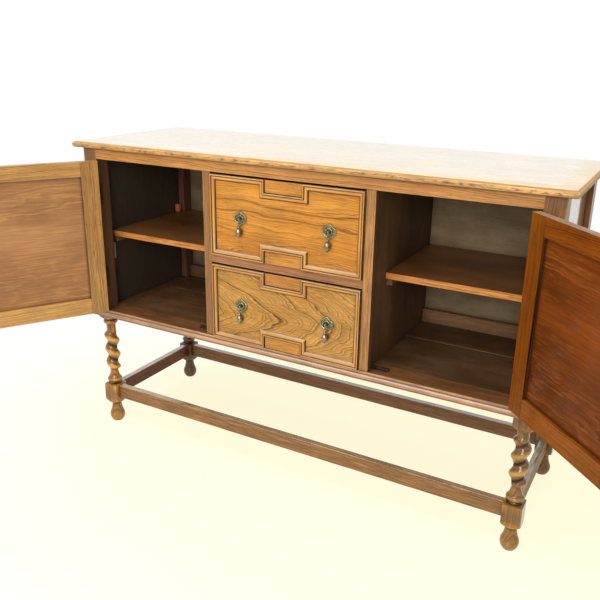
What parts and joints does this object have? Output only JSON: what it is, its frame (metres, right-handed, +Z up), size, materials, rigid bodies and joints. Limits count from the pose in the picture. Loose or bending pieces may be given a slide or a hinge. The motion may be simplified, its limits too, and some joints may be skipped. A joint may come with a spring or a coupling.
{
  "type": "sideboard",
  "caption": "Oak sideboard on barley-twist legs with a box stretcher: cupboards with framed hinged doors beside sliding moulded drawers, all with hanging drop pulls.",
  "frame": {"origin": "on the floor under the middle of the case, half way between its front and back planes", "axes": "+X to the viewer's right along the case, -Y out of the front, +Z up"},
  "size_m": [1.6688, 0.7796, 0.889],
  "materials": {
    "case_oak": "polished, golden oak",
    "leg_oak": "polished, brown oak",
    "oak_ply": "polished veneer",
    "carcass_wood": "dark stain, dull",
    "antique_brass": "aged",
    "hinge_brass": "aged",
    "spring_steel": "dull"
  },
  "bodies": {
    "case": {"back_panel": "oak_ply", "back_rails": "carcass_wood", "base_moulding": "case_oak", "door_catches": "spring_steel", "drawer_divider_rail": "case_oak", "drawer_runners": "carcass_wood", "drawer_stiles": "case_oak", "floor_boards": "carcass_wood", "front_base_rail": "case_oak", "front_left_leg": "leg_oak", "front_left_post": "case_oak", "front_right_leg": "leg_oak", "front_right_post": "case_oak", "front_stretcher": "leg_oak", "front_top_rail": "case_oak", "hinge_pins": "hinge_brass", "left_partition": "carcass_wood", "left_shelf": "carcass_wood", "left_stretcher": "leg_oak", "post_hinge_leaves": "hinge_brass", "rear_base_rail": "carcass_wood", "rear_left_leg": "leg_oak", "rear_left_post": "case_oak", "rear_right_leg": "leg_oak", "rear_right_post": "case_oak", "rear_stretcher": "leg_oak", "right_partition": "carcass_wood", "right_shelf": "carcass_wood", "right_stretcher": "leg_oak", "shelf_cleats": "carcass_wood", "side_base_rails": "case_oak", "side_panels": "oak_ply", "side_top_rails": "carcass_wood", "top_board": "case_oak"},
    "upper_drawer": {"upper_drawer_bottom": "carcass_wood", "upper_drawer_box": "carcass_wood", "upper_drawer_front": "case_oak", "upper_drawer_moulding": "case_oak", "upper_drawer_plates": "antique_brass"},
    "lower_drawer": {"lower_drawer_bottom": "carcass_wood", "lower_drawer_box": "carcass_wood", "lower_drawer_front": "case_oak", "lower_drawer_moulding": "case_oak", "lower_drawer_plates": "antique_brass"},
    "left_door": {"left_door_frame": "case_oak", "left_door_leaves": "hinge_brass", "left_door_moulding": "case_oak", "left_door_panel": "oak_ply", "left_door_plate": "antique_brass"},
    "right_door": {"right_door_frame": "case_oak", "right_door_leaves": "hinge_brass", "right_door_moulding": "case_oak", "right_door_panel": "oak_ply", "right_door_plate": "antique_brass"},
    "upper_left_pendant": {"upper_drawer_left_drop": "antique_brass"},
    "upper_right_pendant": {"upper_drawer_right_drop": "antique_brass"},
    "lower_left_pendant": {"lower_drawer_left_drop": "antique_brass"},
    "lower_right_pendant": {"lower_drawer_right_drop": "antique_brass"},
    "left_door_pendant": {"left_door_drop": "antique_brass"},
    "right_door_pendant": {"right_door_drop": "antique_brass"}
  },
  "joints": [
    {"name": "upper_drawer_slide", "type": "slide", "parent": "case", "child": "upper_drawer", "axis": [0, -1, 0], "range_m": [0, 0.3]},
    {"name": "lower_drawer_slide", "type": "slide", "parent": "case", "child": "lower_drawer", "axis": [0, -1, 0], "range_m": [0, 0.3]},
    {"name": "left_door_hinge", "type": "hinge", "parent": "case", "child": "left_door", "pos_m": [-0.614, -0.2213, 0.61525], "axis": [0, 0, -1], "range_deg": [-121, 47]},
    {"name": "right_door_hinge", "type": "hinge", "parent": "case", "child": "right_door", "pos_m": [0.614, -0.2213, 0.61525], "axis": [0, 0, 1], "range_deg": [-134, 34]},
    {"name": "upper_left_pendant_swing", "type": "hinge", "parent": "upper_drawer", "child": "upper_left_pendant", "pos_m": [-0.128, -0.2275, 0.72925], "axis": [-1, 0, 0], "range_deg": [0, 95]},
    {"name": "upper_right_pendant_swing", "type": "hinge", "parent": "upper_drawer", "child": "upper_right_pendant", "pos_m": [0.128, -0.2275, 0.72925], "axis": [-1, 0, 0], "range_deg": [0, 95]},
    {"name": "lower_left_pendant_swing", "type": "hinge", "parent": "lower_drawer", "child": "lower_left_pendant", "pos_m": [-0.128, -0.2275, 0.4915], "axis": [-1, 0, 0], "range_deg": [0, 95]},
    {"name": "lower_right_pendant_swing", "type": "hinge", "parent": "lower_drawer", "child": "lower_right_pendant", "pos_m": [0.128, -0.2275, 0.4915], "axis": [-1, 0, 0], "range_deg": [0, 95]},
    {"name": "left_door_pendant_swing", "type": "hinge", "parent": "left_door", "child": "left_door_pendant", "pos_m": [-0.79584, -0.5119, 0.61525], "axis": [0.515, 0.8572, 0], "range_deg": [0, 95]},
    {"name": "right_door_pendant_swing", "type": "hinge", "parent": "right_door", "child": "right_door_pendant", "pos_m": [0.85655, -0.46355, 0.61525], "axis": [0.6947, -0.7193, 0], "range_deg": [0, 95]}
  ]
}
